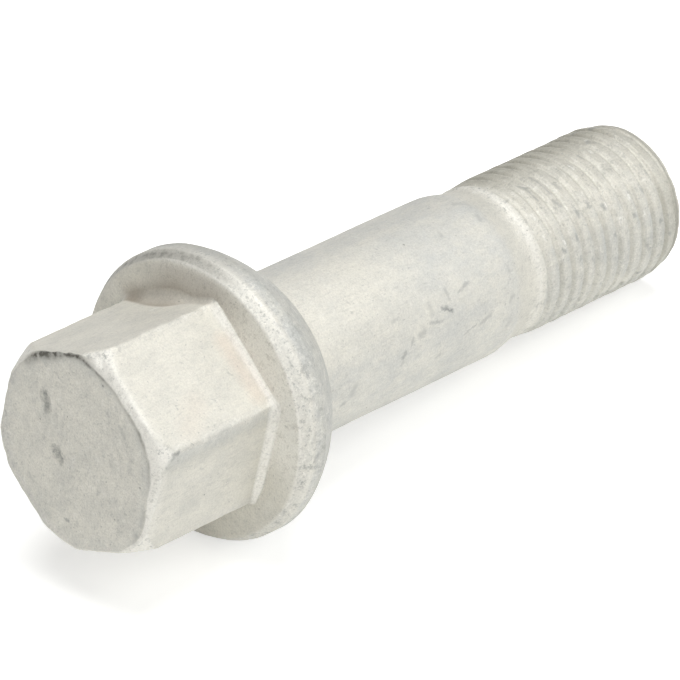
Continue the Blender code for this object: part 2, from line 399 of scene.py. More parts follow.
def head_rings():
    """Rings from the middle of the end face to the flange's face, each a function of the angle."""
    rings = [lambda angle: (0.0, 0.0)]
    end_steps = round(HALF_FLATS / END_STEP)
    for step in range(1, end_steps + 1):
        share = step / end_steps
        rings.append(lambda angle, share=share: (0.0, share * (head_radius(0.0, angle) - end_edge(angle))))
    for step in range(1, 2 * ARC_STEPS + 1):
        def ring(angle, share=step / (2 * ARC_STEPS)):
            x = end_edge(angle) * share
            inward = 1 - share - END_EDGE_BULGE * sin(pi * share)
            return x, head_radius(x, angle) - end_edge(angle) * inward
        rings.append(ring)
    start = END_EDGE_RADIUS + END_EDGE_WEAR + 0.3
    for step in range(1, 5):
        rings.append(lambda angle, share=step / 5: edge_to(start, share, angle))
    chamfer_steps = round((CHAMFER_MESH_END_X - start) / CHAMFER_MESH_STEP)
    places = [start + CHAMFER_MESH_STEP * step for step in range(chamfer_steps)]
    flats = FLANGE_FACE_X - FOOT_MESH_BACKS[0] - CHAMFER_MESH_END_X
    places += [CHAMFER_MESH_END_X + flats * step / FLATS_MESH_STEPS for step in range(FLATS_MESH_STEPS)]
    places += [FLANGE_FACE_X - back for back in FOOT_MESH_BACKS] + [FLANGE_FACE_X]
    rings += [lambda angle, x=x: (x, head_radius(x, angle)) for x in places]
    return rings


def edge_to(x_end, share, angle):
    """A place on the head that share of the way from the end edge's arc to x_end."""
    x = end_edge(angle) + share * (x_end - end_edge(angle))
    return x, head_radius(x, angle)


def flange_face_rings():
    """Rings that carry the hexagon's outline out to the flange's round edge."""
    rings = []
    for share in FACE_MESH_SHARES:
        def ring(angle, share=share):
            inner = head_radius(FLANGE_FACE_X, angle)
            return FLANGE_FACE_X, inner + share * (FLANGE_FACE_RADIUS - inner)
        rings.append(ring)
    return rings


def turned_rings():
    """Rings of the flange's rim, the ball seat, the shank and the neck."""
    seat = []
    start = atan2(FLANGE_RADIUS, RIM_BACK_X - SEAT_CENTRE_X)
    end = atan2(SHANK_RADIUS, sqrt(SEAT_BALL_RADIUS ** 2 - SHANK_RADIUS ** 2))
    fillets = {0: RIM_BACK_FILLET, SEAT_STEPS: SEAT_FILLET}
    for step in range(SEAT_STEPS + 1):
        turn = start + (end - start) * step / SEAT_STEPS
        x = SEAT_CENTRE_X + SEAT_BALL_RADIUS * cos(turn)
        seat.append((x, SEAT_BALL_RADIUS * sin(turn), fillets.get(step, 0.0)))
    corners = [
        (FLANGE_FACE_X, FLANGE_FACE_RADIUS - 1.0, 0.0),
        (FLANGE_FACE_X, FLANGE_FACE_RADIUS, FACE_EDGE_FILLET),
        (RIM_FRONT_X, FLANGE_RADIUS, RIM_FRONT_FILLET),
        *seat,
        (SHANK_END_X, SHANK_RADIUS, SHANK_END_FILLET),
        (NECK_START_X, NECK_RADIUS, NECK_FILLET),
        (THREAD_START_X, NECK_RADIUS, 0.0),
    ]
    outline = spaced(filleted(corners)[1:], SKIN_STEP)
    return [lambda angle, x=point.x, r=point.y: (x, r) for point in outline]


def thread_rings():
    """Rings across the thread, close enough together to draw its flanks."""
    rings = []
    length = POINT_X - POINT_EDGE_RADIUS - THREAD_START_X
    steps = round(length / THREAD_MESH_STEP)
    for step in range(1, steps + 1):
        x = THREAD_START_X + length * step / steps
        rings.append(lambda angle, x=x: (x, thread_radius(x, angle)))
    return rings


def point_rings():
    """The rounded edge and the flat face at the thread's end."""
    rings = []
    flat_radius = POINT_RADIUS - POINT_EDGE_RADIUS
    for step in range(1, ARC_STEPS + 1):
        turn = pi / 2 * step / ARC_STEPS
        x = POINT_X - POINT_EDGE_RADIUS * (1 - sin(turn))
        r = flat_radius + POINT_EDGE_RADIUS * cos(turn)
        rings.append(lambda angle, x=x, r=r: (x, r))
    face_steps = round(flat_radius / SKIN_STEP)
    for step in range(1, face_steps + 1):
        r = flat_radius * (1 - step / face_steps)
        rings.append(lambda angle, r=r: (POINT_X, r))
    return rings


def crowded(angle):
    """Moves an even angle towards its nearest hexagon corner, so that the corners get more steps."""
    flat = round((angle - HEX_TURN) / (pi / 3))
    share = (angle - HEX_TURN - flat * pi / 3) / (pi / 6)
    share = (1 - CORNER_CROWDING) * share + CORNER_CROWDING * (1.5 * share - 0.5 * share ** 3)
    return HEX_TURN + flat * pi / 3 + atan(share * tan(pi / 6))


def unevenness(point):
    """How far forging and the coat leave the skin below its nominal place, in millimetres."""
    on_thread = ease((point.x - NECK_START_X) / 2.0)
    broad = noise.noise(point * 0.16) * UNEVEN_DEPTH + noise.noise(point * 0.45 + Vector((9, 2, 5))) * 0.02
    worn = noise.noise(point * 0.8 + Vector((1, 6, 3))) * 0.05 + noise.noise(point * 2.3) * 0.02
    fine = noise.noise(point * 1.5 + Vector((3, 7, 1))) * 0.012
    return UNEVEN_DEPTH - broad * (1 - 0.75 * on_thread) - worn * on_thread - fine


def chipping(point, angle, r):
    """How much the end face's edge and the hexagon's edges are knocked back."""
    if point.x > FLANGE_FACE_X:
        return 0.0
    past_corner = degrees(turned_off(angle, HEX_TURN + pi / 6))
    rounded = FOOT_CORNER_WEAR * hump(past_corner, 0.0, 5.0) * hump(point.x, FLANGE_FACE_X - 0.6, 0.6)
    if point.x > FLANGE_FACE_X - 1.0:
        return rounded
    from_end = hypot(point.x, max(head_radius(0.0, angle) - r, 0.0))
    from_corner = abs(turned_off(angle, HEX_TURN + pi / 6) % (pi / 3)) * r
    from_corner = min(from_corner, pi / 3 * r - from_corner)
    near = hump(from_end, 0.0, 0.6) + 0.6 * hump(from_corner, 0.0, 0.5)
    depth = CHIP_DEPTH + FACING_CHIP_DEPTH * ease(cos(angle - FACING_CHIPS_TOWARD) * 2.0)
    return rounded + near * max(noise.noise(point * 1.1 + Vector((4, 4, 8))) + 0.12, 0.0) * depth


def dent(point):
    """How deep the knocks have pushed the skin in."""
    deepest = 0.0
    for start, end, wide, strength in KNOCKS:
        line = end - start
        share = min(max((point - start).dot(line) / line.length_squared, 0.0), 1.0)
        away = (point - start - line * share).length
        deepest = max(deepest, DENT_DEPTH * strength * ease(1.0 - away / wide))
    return deepest


def end_face_coat(angle, r):
    """The end face is coated thinly and scuffed, with a painted highlight on its rounded edge and a ragged
    dark line along it, partly grime and partly painted shade.
    """
    inside = head_radius(0.0, angle) - end_edge(angle) - r
    turned = degrees(turned_off(angle, 0.0))
    top = ease((turned + 55.0) / 20.0) * ease((12.0 - turned) / 20.0)
    line = hump(inside, 0.08 - 0.12 * top, 0.13 + 0.12 * top)
    side = (1.0 - top) * ease((turned + 10.0) / 20.0) * ease((95.0 - turned) / 40.0)
    smear = 0.5 * hump(inside, 0.3, 0.3) * ease((turned + 55.0) / 12.0) * ease((-14.0 - turned) / 14.0)
    bitten = min(max(0.55 + 1.1 * noise.noise(outward(angle) * r * 0.8), 0.0), 1.0)
    past = ease(-inside / 0.08) * (1.0 - top)
    return Coat(
        thin=0.12 + 0.25 * hump(inside, 0.4, 0.6),
        # A painted highlight on the rounded edge
        bright=0.9 * past,
        scuffed=0.45 - 0.2 * past,
        # The dark line along the edge is grime and painted shade
        grime=smear + (0.1 + top + side * (0.35 + 0.65 * bitten)) * line)


def painted_fold_shade(angle, beyond):
    """Brown painted shade in the upper flat's fillet, that far beyond its start: most in the web and at one
    end.
    """
    crease = ease((beyond + 0.35) / 0.45) * (0.45 + 0.55 * exp(-max(beyond, 0.0) / 0.5))
    at_end = 0.38 * hump(along_upper_flat(angle), -4.0, 1.3) * ease((beyond + 0.4) / 0.5)
    return on_upper_flat(angle) * (crease * (0.25 + 0.4 * web(angle)) + at_end)


def hexagon_coat(x, angle):
    """The hexagon: cream flats, scuffed corner cones and edges with painted highlights on the cones, along
    the end's edge and on the foot, and brown painted shade in the upper fillet.
    """
    cone = CHAMFER_FACE_RADIUS + CHAMFER_SLOPE * x
    on_cone = ease((hexagon_radius(angle, HALF_FLATS) - cone) / 0.2)
    past_corner = degrees(turned_off(angle, HEX_TURN + pi / 6))
    out_of_sight = ease((past_corner - 130.0) / 30.0)
    lower = ease((past_corner + 34.0) / 8.0) * (1.0 - out_of_sight)
    edge = hump(past_corner, 0.0, 5.0) + hump(past_corner, -60.0, 3.0)
    # Painted highlights along the end's rounded edge and on the foot's flare, where the edges catch the lamps
    edge_highlights = 0.4 * ease((1.6 - x) / 1.1) + ease(foot_flare(x, angle) / 0.14)
    # The corner cones and the edges carry a painted highlight; painted shade sits on the lower flat next to
    # its edge
    return Coat(
        thin=(0.6 * hump(past_corner, 4.0, 5.0) + on_cone * (0.35 - 0.1 * lower)
              + 0.14 * ease((past_corner + 1.0) / 4.0) * (1.0 - out_of_sight)),
        bright=on_cone * (0.75 + 0.25 * lower) + edge_highlights * (1.0 - on_upper_flat(angle)),
        scuffed=0.12 + 0.75 * on_cone + 0.4 * edge,
        dust=painted_fold_shade(angle, x - FLANGE_FACE_X + fillet_height(angle)),
        shade=0.1 * ease((past_corner - 2.0) / 4.0) * ease((16.0 - past_corner) / 8.0))


def flange_face_coat(angle, r):
    """The flange's face keeps brown painted shade, most beside the hexagon's upper corner, and is lightened
    with painted light on its side towards the lamps.
    """
    off_side = r - head_radius(FLANGE_FACE_X, angle)
    corner_side = ease((cos(angle + radians(1.0)) - 0.82) / 0.18) * ease((FLANGE_FACE_RADIUS - r) / 0.8)
    dust = 0.04 * hump(off_side, 0.0, 0.5) * (1.0 - on_upper_flat(angle)) + 0.28 * corner_side
    dust += painted_fold_shade(angle, fillet_height(angle)) * exp(-off_side / 0.7)
    # Painted light on the face's side towards the lamps, which the hexagon shades
    bright = ease((cos(angle - radians(40.0)) - 0.2) / 0.5)
    return Coat(bright=bright, scuffed=0.3, dust=dust, shade=0.1 - 0.1 * bright)


def flange_coat(x, angle):
    """The flange: a pale bevel, a ridge with a painted highlight where it faces the lamps, and a grey mottled
    rim greyed with painted shade towards its back, darker at the top with painted shade, yet with painted
    light on the top bevel.
    """
    facing = cos(angle - radians(62.0))
    far_up = ease((cos(angle + radians(30.0)) - 0.62) / 0.25)
    past_ridge = x - RIM_FRONT_X
    on_bevel = ease((-0.05 - past_ridge) / 0.2)
    on_rim = 1.0 - on_bevel
    # Painted shade on the rim where it turns away towards its back
    groove = 0.4 * ease((past_ridge - 0.05) / 0.4) + 0.5 * ease((past_ridge - 0.85) / 0.5)
    # Painted light on the bevel at the top, which faces away from the lamps, and a painted highlight on the
    # ridge where it faces them
    bright = 0.2 * on_bevel * (1.0 - far_up) + 0.8 * far_up * ease((0.85 - past_ridge) / 0.6)
    bright += 0.6 * hump(past_ridge, -0.05, 0.2) * ease((facing - 0.4) / 0.4)
    shade = (0.06 + 0.08 * far_up) * ease((0.45 - past_ridge) / 0.6) + 0.12 * ease((past_ridge - 0.65) / 0.8)
    return Coat(
        thin=(0.45 - 0.2 * far_up) * on_bevel + on_rim * (0.3 + 0.55 * ease((past_ridge - 0.15) / 0.5)),
        bright=bright,
        scuffed=0.95 + 0.3 * on_bevel,
        groove=groove * (1.0 - 0.7 * far_up),
        grime=0.65 * far_up * (0.4 + 0.6 * on_bevel),
        shade=shade)


def shank_coat(x, angle):
    """The shank: cream near the flange on its side towards the lamps, a painted light, and blue-grey on top
    and below, a painted cool shade, and at its shoulder.
    """
    turned = degrees_round(angle)
    # Cream only on the side that faces the lamps, a painted light; the top and the bottom are left blue-grey
    # as painted cool shade
    cream = ease((CREAM_END_X - x) / 8.0) * ease((turned + 20.0) / 30.0) * ease((84.0 - turned) / 24.0)
    neck = ease((x - SHANK_END_X - 0.1) / 1.2)
    return Coat(thin=(0.7 - 0.55 * cream) * (1.0 - 0.7 * neck), scuffed=0.22, shade=0.1 * neck)


def thread_coat(x, angle, r):
    """The thread: a painted highlight on the turned ring before it, painted highlight lines along the crests
    on its far side, which is otherwise in painted shade, turns on the near side with painted light and shade
    on their two flanks, and an olive tip in painted shade with a dark line before its edge."""
    turned = degrees_round(angle)
    begun = ease((x - THREAD_STEP_X - 0.1) / 0.6)
    on_top = ease((14.0 - turned) / 44.0) * fading_in(turned) * ease((POINT_X - x) / 3.0)
    near = ease((turned - 35.0) / 25.0) * ease((125.0 - turned) / 25.0) * ease(NEAR_TURNS_END_X - x)
    near *= 1.0 + noise.noise(outward(angle) * 5.0 + Vector((0.7 * x, 0.0, 0.0)))
    off_crest = from_crest(x, angle)
    # The depth in a groove, which puts painted shade there
    groove = begun * min(max((thread_envelope(x) - 0.04 - r) / (THREAD_DEPTH * 0.7), 0.0), 1.0)
    # A painted highlight along the crests' edge on the far side
    line = on_top * begun * hump(off_crest, 0.5, 0.14)
    tip = ease((x - TIP_START_X) / 3.5) * (0.3 + 0.7 * ease((turned - 30.0) / 40.0) * fading_out(turned))
    # Painted cool shade on the underside and on the turns' flank towards the tip
    thin = 0.4 * ease((turned - 52.0) / 25.0) * fading_out(turned) + 0.4 * near * hump(off_crest, 0.3, 0.28)
    shade = 0.12 + 0.12 * ease((40.0 - turned) / 15.0) * fading_in(turned) + 0.4 * tip
    shade += on_top * (0.3 + 0.15 * hump(off_crest, 0.0, 0.3)) * (1.0 - line)
    return Coat(
        thin=0.15 + begun * thin,
        # Painted highlights on the turned ring before the thread and at the very edge of the tip
        bright=0.6 * hump(x, THREAD_STEP_X - 0.3, 0.28) + 1.5 * line + 0.5 * hump(x, POINT_X - 0.3, 0.15),
        scuffed=0.85 - 0.35 * near,
        groove=0.2 * groove,
        # Painted shade in the far side's grooves, and a dark line before the tip's edge
        grime=0.1 * groove * on_top + 0.5 * hump(x, POINT_X - 0.6, 0.12),
        shade=begun * shade + 0.12 * near * groove)


def coat_at(x, angle, r):
    """The coat at a corner of the skin, soft from the flange's face to its bevel."""
    if x < 0.7 * end_edge(angle):
        return end_face_coat(angle, r)
    if x < FLANGE_FACE_X - 0.01:
        return hexagon_coat(x, angle)
    if x < SEAT_END_X:
        share = ease((x - FLANGE_FACE_X - 0.03) / 0.25)
        both = zip(flange_face_coat(angle, r), flange_coat(x, angle))
        return Coat(*(face + (flange - face) * share for face, flange in both))
    if x < NECK_START_X + 0.6:
        return shank_coat(x, angle)
    if x > POINT_X - 0.01:
        return Coat(thin=0.35, scuffed=0.6, shade=0.3)
    return thread_coat(x, angle, r)


def bolt_mesh():
    """One closed skin: a line of corners turned about the axis, then each ring shaped by its function."""
    rings = head_rings() + flange_face_rings() + turned_rings() + thread_rings() + point_rings()
    last = len(rings) - 1
    bm = bmesh.new()
    line = [bm.verts.new((index, 0.0, 0.0 if index in (0, last) else 1.0)) for index in range(len(rings))]
    edges = [bm.edges.new(pair) for pair in zip(line, line[1:])]
    bmesh.ops.spin(bm, geom=line + edges, cent=(0, 0, 0), axis=(1, 0, 0), angle=2 * pi, steps=SIDES,
                   use_merge=True)
    bmesh.ops.remove_doubles(bm, verts=bm.verts, dist=0.001)
    for vertex in bm.verts:
        angle = crowded(atan2(-vertex.co.y, vertex.co.z))
        x, radius = rings[round(vertex.co.x)](angle)
        vertex.co = (x, -radius * sin(angle), radius * cos(angle))
    bmesh.ops.recalc_face_normals(bm, faces=bm.faces)
    bm.normal_update()
    coat = bm.verts.layers.float_color.new("coat")
    soil_and_shade = bm.verts.layers.float_color.new("soil_and_shade")
    for vertex in bm.verts:
        x, y, z = vertex.co
        angle = atan2(-y, z)
        r = hypot(y, z)
        look = coat_at(x, angle, r)
        vertex[coat] = (look.thin, look.bright, look.scuffed, look.groove)
        vertex[soil_and_shade] = (look.grime, look.dust, look.shade, 1.0)
        worn = chipping(vertex.co, angle, r) + dent(vertex.co)
        vertex.co -= vertex.normal * (max(unevenness(vertex.co), 0.0) + worn)
    bmesh.ops.transform(bm, matrix=BOLT_TO_WORLD, verts=bm.verts)
    mesh = bpy.data.meshes.new("bolt_skin")
    bm.to_mesh(mesh)
    bm.free()
    mesh.shade_smooth()
    return mesh


def linear(hex_colour):
    """An sRGB hex colour as linear RGBA."""
    channels = [int(hex_colour[index:index + 2], 16) / 255 for index in (1, 3, 5)]
    return [c / 12.92 if c <= 0.04045 else ((c + 0.055) / 1.055) ** 2.4 for c in channels] + [1.0]


def add(tree, kind, inputs, **settings):
    """Adds a node with its settings, and with values, colours, or links from nodes on its inputs, which
    are given by name or by number."""
    node = tree.nodes.new(kind)
    for name, value in settings.items():
        setattr(node, name, value)
    for key, value in inputs.items():
        if isinstance(value, bpy.types.Node):
            value = next(output for output in value.outputs if output.enabled)
        if isinstance(value, bpy.types.NodeSocket):
            tree.links.new(value, node.inputs[key])
        else:
            node.inputs[key].default_value = linear(value) if isinstance(value, str) else value
    return node


def outward(angle):
    return Vector((0.0, -sin(angle), cos(angle)))


def on_round(radius, start, end, wide, strength):
    """A mark on a round part between two (along, degrees round): its ends, half width and strength."""
    ends = [outward(radians(turned)) * radius + Vector((x, 0.0, 0.0)) for x, turned in (start, end)]
    return *ends, wide, strength


def on_flat(angle, start, end, wide, strength):
    """A mark on one of the hexagon's flats between two (along, off the middle line)."""
    middle_line = outward(angle) * HALF_FLATS
    ends = [middle_line + outward(angle + pi / 2) * off + Vector((x, 0.0, 0.0)) for x, off in (start, end)]
    return *ends, wide, strength


def on_end(start, end, wide, strength):
    """A mark on the end face between two (across, up)."""
    return Vector((0.0, *start)), Vector((0.0, *end)), wide, strength


def strokes(tree, place, marks):
    """The strongest of some marks at each point: a mark's strength along its line, 0 from its half width."""
    total = 0.0
    for start, end, wide, strength in marks:
        line = end - start
        reach = line / line.length_squared
        off = add(tree, "ShaderNodeVectorMath", {0: place, 1: start}, operation="SUBTRACT")
        along = add(tree, "ShaderNodeVectorMath", {0: off, 1: reach}, operation="DOT_PRODUCT")
        along = add(tree, "ShaderNodeClamp", {0: along})
        nearest = add(tree, "ShaderNodeVectorMath", {0: line, "Scale": along}, operation="SCALE")
        away = add(tree, "ShaderNodeVectorMath", {0: off, 1: nearest}, operation="DISTANCE")
        inside = add(tree, "ShaderNodeMapRange", {0: away, 1: wide, 2: 0.2 * wide, 3: 0.0, 4: strength})
        total = add(tree, "ShaderNodeMath", {0: total, 1: inside}, operation="MAXIMUM")
    return total


# The single marks that the photograph shows: dents, grey scuffs, painted glints of light on the coat, and
# faint stains
KNOCKS = [
    on_end((4.05, 3.7), (3.6, 2.5), 0.6, 0.75),
    on_end((2.45, -0.75), (1.75, -1.35), 0.6, 0.75),
    on_round(CREST_RADIUS, (50.6, 112), (50.6, 102), 0.24, 1.0),
    on_round(FLANGE_RADIUS, (14.7, 57), (14.8, 60), 0.28, 0.5),
]
SCUFFS = [
    on_round(SHANK_RADIUS, (35.8, 64), (36.8, 69), 0.26, 1.0),
    on_end((0.85, -6.6), (0.45, -6.6), 0.2, 0.7),
    on_end((8.1, 0.2), (8.1, -0.2), 0.2, 0.5),
    on_end((-7.5, -2.2), (-7.3, -3.4), 0.35, 0.35),
    on_end((-6.9, -4.4), (-6.7, -5.5), 0.35, 0.35),
    on_end((3.0, 6.0), (2.2, 5.6), 0.2, 0.3),
    on_end((-4.2, 4.4), (-4.9, 3.6), 0.25, 0.3),
    on_end((5.2, -4.2), (4.6, -4.8), 0.2, 0.3),
    on_round(SHANK_RADIUS, (38.1, 59), (39.3, 56), 0.22, 0.51),
    on_round(SHANK_RADIUS, (36.7, 54), (36.8, 61), 0.28, 0.38),
    on_round(SHANK_RADIUS, (34.1, 70), (35.5, 73), 0.2, 0.51),
    on_round(SHANK_RADIUS, (32.7, 75), (33.3, 74), 0.42, 0.47),
    on_round(SHANK_RADIUS, (31.6, 79), (31.9, 75), 0.25, 0.51),
    on_round(SHANK_RADIUS, (30.5, 85), (30.9, 82), 0.28, 0.68),
    on_round(SHANK_RADIUS, (30.4, 90), (30.6, 88), 0.25, 0.34),
    on_round(SHANK_RADIUS, (38.1, 89), (39.5, 86), 0.14, 0.55),
    on_round(SHANK_RADIUS, (40.1, 87), (41.3, 84), 0.31, 0.42),
    on_round(SHANK_RADIUS, (34.8, 97), (35.3, 96), 0.28, 0.38),
    on_round(SHANK_RADIUS, (23.3, 100), (23.7, 99), 0.28, 0.51),
    on_round(SHANK_RADIUS, (24.5, 94), (24.9, 89), 0.49, 0.3),
    on_round(SHANK_RADIUS, (26.4, 32), (26.7, 36), 0.17, 0.42),
    on_round(SHANK_RADIUS, (30.0, 59), (30.7, 58), 0.22, 0.3),
    on_round(SHANK_RADIUS, (43.9, 80), (44.1, 78), 0.39, 0.38),
    on_round(SHANK_RADIUS, (44.2, 58), (44.2, 61), 0.31, 0.26),
    on_round(SHANK_RADIUS, (44.4, 17), (44.3, 21), 0.31, 0.34),
    on_round(SHANK_RADIUS, (39.7, 18), (39.7, 21), 0.22, 0.34),
    on_round(SHANK_RADIUS, (43.9, 0), (45.0, 5), 0.35, 0.3),
    on_round(SHANK_RADIUS, (34.4, 58), (34.5, 65), 0.42, 0.26),
    on_round(SHANK_RADIUS, (43.6, 100), (43.9, 97), 0.42, 0.26),
    on_round(THREAD_SKIN, (60.8, -3), (61.5, -4), 0.28, 0.72),
    on_round(THREAD_SKIN, (55.8, 42), (55.7, 44), 0.28, 0.72),
    on_round(THREAD_SKIN, (57.2, 48), (57.3, 50), 0.3, 0.72),
    on_round(THREAD_SKIN, (54.2, 44), (54.2, 47), 0.28, 0.72),
    on_round(THREAD_SKIN, (60.3, 63), (60.4, 64), 0.3, 0.72),
    on_round(THREAD_SKIN, (63.3, 75), (63.4, 76), 0.27, 0.72),
    on_round(THREAD_SKIN, (57.6, 70), (57.9, 72), 0.3, 0.60),
    on_round(THREAD_SKIN, (51.1, 64), (51.3, 66), 0.28, 0.72),
    on_round(THREAD_SKIN, (54.5, 80), (54.9, 86), 0.26, 0.50),
    on_round(THREAD_SKIN, (56.4, 88), (56.6, 92), 0.26, 0.50),
    on_round(THREAD_SKIN, (61.2, 116), (62.0, 116), 0.28, 0.70),
    on_round(THREAD_SKIN, (61.6, 90), (62.1, 95), 0.26, 0.45),
    on_round(THREAD_SKIN, (52.6, 30), (53.0, 36), 0.24, 0.50),
    on_round(THREAD_SKIN, (50.9, 8), (51.4, 13), 0.24, 0.60),
    on_round(THREAD_SKIN, (54.0, 18), (54.2, 24), 0.24, 0.50),
    on_round(THREAD_SKIN, (64.2, 86), (64.9, 92), 0.2, 0.60),
    on_round(THREAD_SKIN, (62.7, -28), (63.3, -27), 0.3, 0.72),
    on_round(THREAD_SKIN, (64.0, -21), (64.7, -19), 0.35, 0.72),
    on_round(THREAD_SKIN, (51.1, 8), (51.2, 25), 0.2, 0.60),
    on_round(THREAD_SKIN, (52.8, 5), (52.9, 25), 0.2, 0.50),
    on_round(THREAD_SKIN, (62.1, 49), (62.2, 51), 0.25, 0.60),
    on_round(THREAD_SKIN, (63.6, 39), (63.7, 42), 0.25, 0.50),
    on_round(THREAD_SKIN, (53.1, 59), (53.1, 62), 0.25, 0.60),
    on_round(THREAD_SKIN, (58.9, 5), (59.0, 9), 0.25, 0.50),
    on_round(FLANGE_RADIUS, (14.1, 37), (14.5, 39), 0.22, 0.35),
    on_round(FLANGE_RADIUS, (14.4, 81), (14.2, 84), 0.25, 0.35),
    on_round(FLANGE_RADIUS, (14.8, 90), (14.5, 93), 0.3, 0.4),
    on_round(FLANGE_RADIUS, (15.2, 46), (15.0, 50), 0.25, 0.3),
    on_round(FLANGE_RADIUS, (15.1, 70), (14.9, 76), 0.3, 0.3),
    on_round(FLANGE_RADIUS, (13.6, 66), (14.0, 67), 0.14, 0.6),
    on_round(9.3, (0.5, 74), (1.2, 76), 0.28, 0.7),
    on_round(9.6, (1.5, 70), (2.0, 69), 0.28, 0.8),
    on_round(9.4, (1.0, 74), (1.6, 71), 0.22, 0.45),
    on_flat(LOWER_FLAT, (1.6, -3.2), (3.9, -2.6), 0.1, 0.35),
    on_flat(LOWER_FLAT, (5.0, -1.9), (5.4, -1.6), 0.2, 0.3),
    on_flat(HEX_TURN, (8.0, -4.8), (9.6, -4.8), 0.16, 0.25),
    on_flat(HEX_TURN, (4.1, 1.5), (4.1, 1.8), 0.12, 0.5),
    on_flat(HEX_TURN, (10.6, 0.8), (10.8, 1.2), 0.14, 0.4),
    on_flat(HEX_TURN, (6.8, -1.5), (7.1, -1.3), 0.12, 0.35),
    on_flat(HEX_TURN, (7.6, 2.2), (8.0, 2.6), 0.12, 0.35),
]
GLINTS = [
    on_round(THREAD_SKIN, (61.5, -6), (61.7, -6), 0.22, 0.68),
    on_round(THREAD_SKIN, (60.4, 6), (60.3, 8), 0.22, 0.68),
    on_round(THREAD_SKIN, (57.1, 10), (57.1, 14), 0.20, 0.68),
    on_round(THREAD_SKIN, (49.6, 50), (49.7, 53), 0.19, 0.68),
    on_round(THREAD_SKIN, (60.4, 49), (60.4, 51), 0.24, 0.68),
    on_round(THREAD_SKIN, (60.8, 60), (60.8, 62), 0.20, 0.68),
    on_round(THREAD_SKIN, (61.6, 65), (61.5, 67), 0.20, 0.61),
    on_round(THREAD_SKIN, (57.7, 47), (57.7, 49), 0.22, 0.68),
    on_round(THREAD_SKIN, (51.6, 59), (51.7, 61), 0.21, 0.68),
    on_round(THREAD_SKIN, (49.4, 25), (49.5, 27), 0.19, 0.54),
    on_round(THREAD_SKIN, (49.6, 33), (49.7, 36), 0.19, 0.61),
    on_round(THREAD_SKIN, (58.1, 61), (58.7, 61), 0.20, 0.61),
    on_round(THREAD_SKIN, (54.6, 22), (54.7, 24), 0.19, 0.48),
    on_round(THREAD_SKIN, (63.8, 66), (63.9, 68), 0.19, 0.54),
    on_flat(UPPER_FLAT, (10.5, 0.35), (11.2, 0.45), 0.22, 0.68),
]
STAINS = [
    on_flat(HEX_TURN, (11.9, -1.6), (12.0, 3.4), 1.3, 0.6),
    on_flat(HEX_TURN, (6.0, 2.0), (4.0, 3.6), 1.6, 0.25),
]


def bolt_space(tree):
    """A point's place in the bolt's own space, in millimetres."""
    objects = add(tree, "ShaderNodeTexCoord", {}).outputs["Object"]
    axes = {"Vector": objects, "Location": HEAD_END, "Rotation": BOLT_AXES.to_euler(), "Scale": (MM, MM, MM)}
    return add(tree, "ShaderNodeMapping", axes, vector_type="TEXTURE")


def shaken(tree, place, reaches):
    """The place pushed about by noise as far as each reach, which makes the edges of marks ragged."""
    wobble = add(tree, "ShaderNodeTexNoise",
                 {"Vector": place, "Scale": WOBBLES_PER_MM, "Detail": 3.0, "Roughness": 0.7})
    centred = add(tree, "ShaderNodeVectorMath", {0: wobble.outputs["Color"], 1: (0.5, 0.5, 0.5)},
                  operation="SUBTRACT")
    return [add(tree, "ShaderNodeVectorMath", {0: centred, 1: (reach, reach, reach), 2: place},
                operation="MULTIPLY_ADD") for reach in reaches]


def rubbed_lines(tree, place):
    """Fine rubbed lines, long one way and thin across, in two directions."""
    lines = 0.0
    for turn in STREAK_TURNS:
        drawn = add(tree, "ShaderNodeMapping", {"Vector": place, "Rotation": turn, "Scale": STREAKS_PER_MM})
        streak = add(tree, "ShaderNodeTexNoise", {"Vector": drawn, "Scale": 1.0, "Detail": 1.0})
        streak = add(tree, "ShaderNodeMapRange", {0: streak, 1: 0.62, 2: 0.72})
        lines = add(tree, "ShaderNodeMath", {0: lines, 1: streak}, operation="MAXIMUM")
    return lines


def small_pits(tree, place):
    """Round pits of up to 0.1 mm in about one cell of seven."""
    cells = add(tree, "ShaderNodeTexVoronoi", {"Vector": place, "Scale": PIT_CELLS_PER_MM})
    chance = add(tree, "ShaderNodeSeparateColor", {0: cells.outputs["Color"]})
    room = add(tree, "ShaderNodeMath", {0: chance, 1: 0.7, 2: -0.6}, operation="MULTIPLY_ADD")
    return add(tree, "ShaderNodeMath", {0: cells, 1: room}, operation="LESS_THAN")


